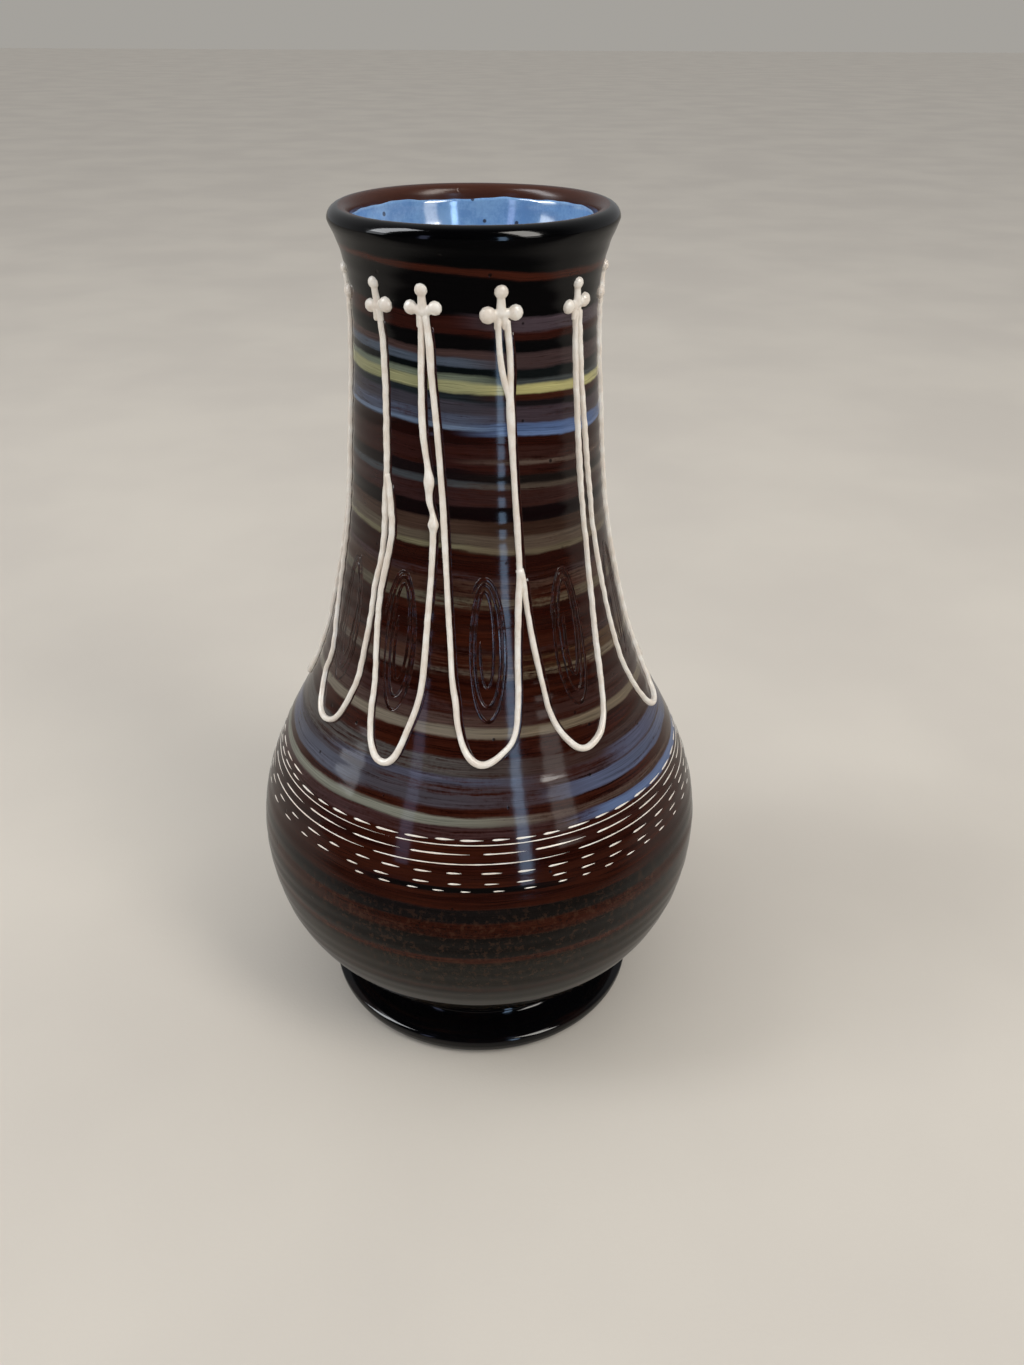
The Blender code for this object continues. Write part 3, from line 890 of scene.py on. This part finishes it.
def crossShape(index):
    left, right, top = crosses["drops"][index % len(crosses["drops"])]
    angle = crossAngles[index]
    level = crosses["level"]
    ballMesh = bmesh.new()

    def ball(u, v, radius):
        place = Matrix.Translation((u, v, 0)) @ Matrix.Diagonal((1, 1, crosses["flatness"], 1))
        bmesh.ops.create_icosphere(ballMesh, subdivisions=2, radius=radius, matrix=place)

    def limb(start, end, radiusStart, radiusEnd):
        length = math.hypot(end[0] - start[0], end[1] - start[1])
        count = int(length / 0.35) + 2
        for k in range(count):
            t = k / (count - 1)
            ball(start[0] + (end[0] - start[0]) * t, start[1] + (end[1] - start[1]) * t,
                 radiusStart + (radiusEnd - radiusStart) * t)

    ball(0, 0.1, crosses["hub"])
    for u, v, radius in (left, right):
        ball(u, v, radius)
        limb((0, 0), (u * 0.8, v * 0.8), crosses["armRadius"], crosses["armRadius"])
    ball(*top)
    limb((0, 0), (top[0], top[1] - 0.9), *crosses["upright"])
    offset, length, radiusTop, radiusFoot = crosses["stubs"]
    for u in (-offset, offset):
        limb((u * 0.6, 0), (u, -length), radiusTop, radiusFoot)
    mesh = bpy.data.meshes.new("dropCluster")
    ballMesh.to_mesh(mesh)
    ballMesh.free()
    cluster = linked("dropCluster", mesh)
    remesh = cluster.modifiers.new("Merged", "REMESH")
    remesh.mode = "VOXEL"
    remesh.voxel_size = crosses["voxel"]
    settle = cluster.modifiers.new("Settled", "SMOOTH")
    settle.factor = 0.5
    settle.iterations = 4
    evaluated = cluster.evaluated_get(bpy.context.evaluated_depsgraph_get())
    merged = evaluated.to_mesh()
    local = np.empty(len(merged.vertices) * 3)
    merged.vertices.foreach_get("co", local)
    local = local.reshape(-1, 3)
    faces = [tuple(p.vertices) for p in merged.polygons]
    evaluated.to_mesh_clear()
    bpy.data.objects.remove(cluster)
    radius = potRadius(level / 1000) * 1000
    angles = angle + np.degrees(local[:, 0] / radius)
    levels = (level + local[:, 1]) / 1000
    out = (local[:, 2] + crosses["sunk"]) / 1000
    verts = wallPoint(angles, levels) + wallNormal(angles, levels) * out[:, None]
    return verts, faces


for i in range(len(crossAngles)):
    verts, faces = crossShape(i)
    number = f"{i + 1:02d}"
    addPiece("slipCross" + number, verts, faces, slipFinish, ["slip_cross_" + number])
print("crosses placed")


# dark ribbons laid beside every slip trail, always shifted to the same side of it: painted shadow of the
# trails
edges = {
    "halfWidth": 0.00042,
    "offset": 0.00112,
    "height": 0.00004,
    "dark": "#1e0805",
    "light": "#33110a",
}


def makeEdgeFinish(name, dark, light):
    g = Finish(name)
    point = g.position()
    grain = g.noise(point, 700.0, 3.0, 0.6)
    colour = g.blend(g.step(grain, 0.35, 0.7), linear(dark), linear(light))
    rough = 0.07 + 0.08 * grain
    return g.surface({"Base Color": colour, "Roughness": rough}, grain, 0.00006, 0.5)


trailShadowFinish = makeEdgeFinish("painted trail shadow", edges["dark"], edges["light"])
edgeShapes = []
for path in trailPaths:
    angles, levels, run = densePath(path, 0.0012, slip["ease"])
    keep = slice(3, len(run) - 3)
    sideways = np.sign(np.gradient(levels))
    sideways = softened(sideways, 2.5)
    halfWidths = edges["halfWidth"] * wavy(run, 0.008, 0.35, slipRandom)
    halfWidths = halfWidths * np.clip(np.abs(sideways), 0.15, 1)
    shift = edges["offset"] * sideways
    heights = np.full(len(run), edges["height"])
    section = [(1, 0.3), (0.6, 1.0), (-0.6, 1.0), (-1, 0.3)]
    edgeShapes.append(bead(angles[keep], levels[keep], halfWidths[keep], heights[keep], section, shift[keep],
                           0.00008))
edgeVerts, edgeFaces = joined(edgeShapes)
addPiece("paintedTrailShadows", edgeVerts, edgeFaces, trailShadowFinish)
print("painted trail shadows drawn")


ovals = {
    "halfWidth": 0.00046,
    "burr": 0.00008,
    "turns": 3.1,
    "angles": [-60, -30.8, 2.6, 36.3, 70, 104, 136, 169, 201, 233, 263],
    # half width in degrees, and (middle level, half height) in mm, of the first loop and the last
    "narrow": 1.9,
    "wide": 7.7,
    "low": (146.5, 10.5),
    "high": (143.4, 20.2),
    "dark": "#1a0805",
    "light": "#36150c",
    "seed": 21,
}

ovalRandom = np.random.default_rng(ovals["seed"])
ovalShapes = []
for i, middle in enumerate(ovals["angles"]):
    t = np.linspace(0, 2 * math.pi * (ovals["turns"] + ovalRandom.uniform(-0.3, 0.3)), 150)
    share = t / t[-1]
    lean = ovalRandom.uniform(-0.6, 0.6)
    width = ovals["narrow"] + (ovals["wide"] - ovals["narrow"]) * share ** 0.9
    width = width * (1 + 0.07 * np.sin(t * 0.7 + ovalRandom.uniform(0, 6)))
    tall = ovals["low"][1] + (ovals["high"][1] - ovals["low"][1]) * share ** 0.7
    centre = ovals["low"][0] + (ovals["high"][0] - ovals["low"][0]) * share
    start = ovalRandom.uniform(-0.5, 0.5) - 0.4
    angles = middle + lean * (share - 0.5) * 2 - width * np.cos(t + start)
    levels = centre - tall * np.sin(t + start)
    angles, levels, run = densePath(list(zip(angles, levels)), 0.0009)
    halfWidths = ovals["halfWidth"] * wavy(run, 0.004, 0.3, ovalRandom)
    ends = np.clip(np.minimum(run, run[-1] - run) / 0.002, 0.1, 1)
    heights = ovals["burr"] * np.clip(wavy(run, 0.003, 0.9, ovalRandom), 0.2, 2.2)
    section = [(1.0, 0.1), (0.78, 0.85), (0.6, 1.0), (0.38, 0.35), (0.0, 0.12), (-0.38, 0.3), (-0.6, 0.8),
               (-0.78, 0.7), (-1.0, 0.1)]
    ovalShapes.append(bead(angles, levels, halfWidths * ends, heights * ends, section, 0.0 * run, 0.0001))
ovalVerts, ovalFaces = joined(ovalShapes)
ovalFinish = makeEdgeFinish("cut clay", ovals["dark"], ovals["light"])
addPiece("incisedOvals", ovalVerts, ovalFaces, ovalFinish)
print("ovals cut")


strokes = {
    # level in mm where each turn of the spiral passes the front
    "turns": [82.8, 84.9, 87.7, 90.2, 92.7, 94.9, 96.3, 98.4],
    # (stroke length, gap) in degrees for each turn, and half width in mm
    "rhythm": [(2.8, 4.4, 0.21), (3.6, 4.8, 0.24), (4.5, 3.9, 0.26), (44, 3.0, 0.18), (12.5, 2.6, 0.22),
               (150, 0.8, 0.17), (5.4, 1.8, 0.28)],
    "height": 0.00009,
    "start": -32.0,
    "end": 360 * 6 + 300,
    "section": [(1, 0.1), (0.7, 0.8), (0, 1), (-0.7, 0.8), (-1, 0.1)],
    "seed": 8,
}

strokeRandom = np.random.default_rng(strokes["seed"])


def strokeShape(start, length, halfWidth):
    count = max(int(length / 0.5), 6)
    share = np.linspace(0, 1, count + 1)
    turn = start + length * share
    levels = np.interp(turn / 360, np.arange(len(strokes["turns"])), strokes["turns"]) / 1000
    blunt = min(0.8 / length, 0.25)
    profile = np.where(share < blunt, np.sqrt(np.clip(share / blunt, 0, 1)),
                       1 - np.clip((share - blunt) / (1 - blunt), 0, 1) ** (2.4 if length < 20 else 8))
    profile = np.clip(profile, 0.08, 1)
    jitter = 1 + 0.12 * np.sin(share * length * 0.9 + start)
    halfWidths = halfWidth / 1000 * profile * jitter
    heights = strokes["height"] * profile
    # no two strokes sit quite level
    levels = levels + 0.00012 * math.sin(start * 12.9898)
    return bead(turn, levels, halfWidths, heights, strokes["section"], 0.0 * turn, 0.0001)


strokeShapes = []
turn = strokes["start"]
while turn < strokes["end"]:
    row = min(int((turn + 180) // 360), len(strokes["rhythm"]) - 1)
    length, gap, halfWidth = strokes["rhythm"][row]
    length = length * strokeRandom.uniform(0.78, 1.22)
    strokeShapes.append(strokeShape(turn, length, halfWidth * strokeRandom.uniform(0.85, 1.12)))
    turn += length + gap * strokeRandom.uniform(0.75, 1.3)
strokeVerts, strokeFaces = joined(strokeShapes)
addPiece("bellyStrokes", strokeVerts, strokeFaces, slipFinish)
print("belly strokes laid", len(strokeShapes))


stage = {
    "floor": "#d6cfc4",
    "floorShade": "#cfc8be",
    "floorSize": 12.0,
    "worldSide": 0.34,
    "worldFront": 0.008,
    "worldFill": 0.6,
    "background": 0.375,
    # azimuth, elevation, distance, width and height of each lamp, the watts that light the floor and slip,
    # the watts that only show as a reflection in the glaze, the colour, and the height aimed at
    "lamps": {
        "right window": (45, 43, 1.5, 0.4, 1.1, 8.0, 16.0, (1.0, 0.96, 0.9), 0.12),
        "left window": (-80, 43, 1.5, 0.4, 1.1, 6.0, 18.0, (0.95, 0.97, 1.0), 0.12),
        "right glass": (45, 17, 1.4, 0.3, 0.5, 0.0, 0.9, (1.0, 0.97, 0.93), 0.12),
        "left glass": (-80, 17, 1.4, 0.4, 0.5, 0.0, 2.0, (0.9, 0.95, 1.0), 0.12),
        "front strip": (21, 8, 0.75, 0.075, 0.5, 0.1, 0.75, (0.45, 0.68, 1.0), 0.16),
        "dim strip": (-38, 14, 0.9, 0.1, 0.5, 0.0, 0.28, (0.55, 0.62, 1.0), 0.16),
        "top": (0, 80, 1.6, 1.4, 1.4, 3.0, 0.0, (1.0, 0.98, 0.95), 0.12),
    },
}


def makeFloor():
    g = Finish("studio floor")
    point = g.position()
    cloud = g.noise(point, 6.0, 3.0, 0.5)
    grain = g.noise(point, 900.0, 1.0, 0.5)
    colour = g.blend(g.step(cloud, 0.3, 0.7), linear(stage["floorShade"]), linear(stage["floor"]))
    # the glaze sees a dim room beyond the floor in front
    g.add("SeparateXYZ", None, {0: point})
    ahead = g.also(1)
    shiny = g.add("LightPath", None, None, "Is Glossy Ray")
    dim = (0.02, 0.02, 0.02)
    colour = g.blend(g.step(ahead, -0.03, -0.2) * shiny * 0.9, colour, dim)
    colour = g.blend(shiny * 0.35, colour, dim)
    material = g.surface({"Base Color": colour, "Roughness": 0.9 + 0.1 * grain, "Specular IOR Level": 0.0},
                         grain, 0.0002, 0.2)
    mesh = bpy.data.meshes.new("studioFloor")
    size = stage["floorSize"]
    corners = [(-size, -size, 0), (size, -size, 0), (size, size, 0), (-size, size, 0)]
    mesh.from_pydata(corners, [], [(0, 1, 2, 3)])
    mesh.materials.append(material)
    floor = linked("studioFloor", mesh)


def addLamp(name, azimuth, elevation, distance, width, height, soft, mirrored, colour, aim):
    a, e = math.radians(azimuth), math.radians(elevation)
    away = np.array([math.sin(a) * math.cos(e), -math.cos(a) * math.cos(e), math.sin(e)])
    facing = Matrix(((math.cos(a), -math.sin(a) * math.sin(e), away[0]),
                     (math.sin(a), math.cos(a) * math.sin(e), away[1]),
                     (0, math.cos(e), away[2])))
    for kind, power in (("soft", soft), ("mirrored", mirrored)):
        if power == 0:
            continue
        light = bpy.data.lights.new(f"{name} {kind}", "AREA")
        light.shape = "RECTANGLE"
        light.size = width
        light.size_y = height
        light.energy = power
        light.color = colour
        lamp = linked(light.name, light)
        # the mirrored lamp hangs just in front, or the soft one would hide it
        nearer = 0.02 if kind == "mirrored" else 0
        lamp.location = away * (distance - nearer) + np.array([0, 0, aim])
        lamp.rotation_euler = facing.to_euler()
        lamp.visible_camera = False
        lamp.visible_diffuse = kind == "soft"
        lamp.visible_glossy = kind == "mirrored"


def lightStage():
    world = bpy.data.worlds.new("studio")
    bpy.context.scene.world = world
    world.use_nodes = True
    g = Finish("studio", world.node_tree)
    direction = g.add("TexCoord", None, None, "Generated")
    g.add("SeparateXYZ", None, {0: direction})
    ahead = g.also(1)
    up = g.also(2)
    share = g.step(ahead - up * 0.25, -0.55, 0.35)
    strength = stage["worldFront"] + (stage["worldSide"] - stage["worldFront"]) * share
    cameraRay = g.add("LightPath", None, None, "Is Camera Ray")
    diffuseRay = g.also("Is Diffuse Ray")
    strength = strength * (1 - diffuseRay) + stage["worldFill"] * diffuseRay
    strength = strength * (1 - cameraRay) + stage["background"] * cameraRay
    tint = g.blend(cameraRay, (0.97, 0.98, 1.0), (1.0, 0.96, 0.89))
    background = g.add("Background", None, {"Color": tint, "Strength": strength})
    g.add("OutputWorld", None, {"Surface": background})
    for name, settings in stage["lamps"].items():
        addLamp(name, *settings)


view = {
    "location": (0.0, -0.31445, 0.29165),
    # degrees down, to the right, and with the right side lifted
    "pitch": 29.96,
    "yaw": 1.87,
    "roll": 0.32,
    "lens": 30.57,
}


def placeCamera():
    data = bpy.data.cameras.new("camera")
    data.lens = view["lens"]
    data.sensor_width = 36.0
    data.sensor_fit = "AUTO"
    data.clip_start = 0.01
    camera = linked("camera", data)
    pitch, yaw, roll = [math.radians(view[name]) for name in ("pitch", "yaw", "roll")]
    ahead = np.array([math.sin(yaw) * math.cos(pitch), math.cos(yaw) * math.cos(pitch), -math.sin(pitch)])
    right = np.array([math.cos(yaw), -math.sin(yaw), 0.0])
    up = np.cross(right, ahead)
    tiltedRight = right * math.cos(roll) + up * math.sin(roll)
    tiltedUp = up * math.cos(roll) - right * math.sin(roll)
    camera.location = view["location"]
    turned = Matrix([[tiltedRight[i], tiltedUp[i], -ahead[i]] for i in range(3)])
    camera.rotation_euler = turned.to_euler()
    bpy.context.scene.camera = camera


makeFloor()
lightStage()
placeCamera()
bpy.context.scene.view_settings.view_transform = "Standard"
print("stage set")
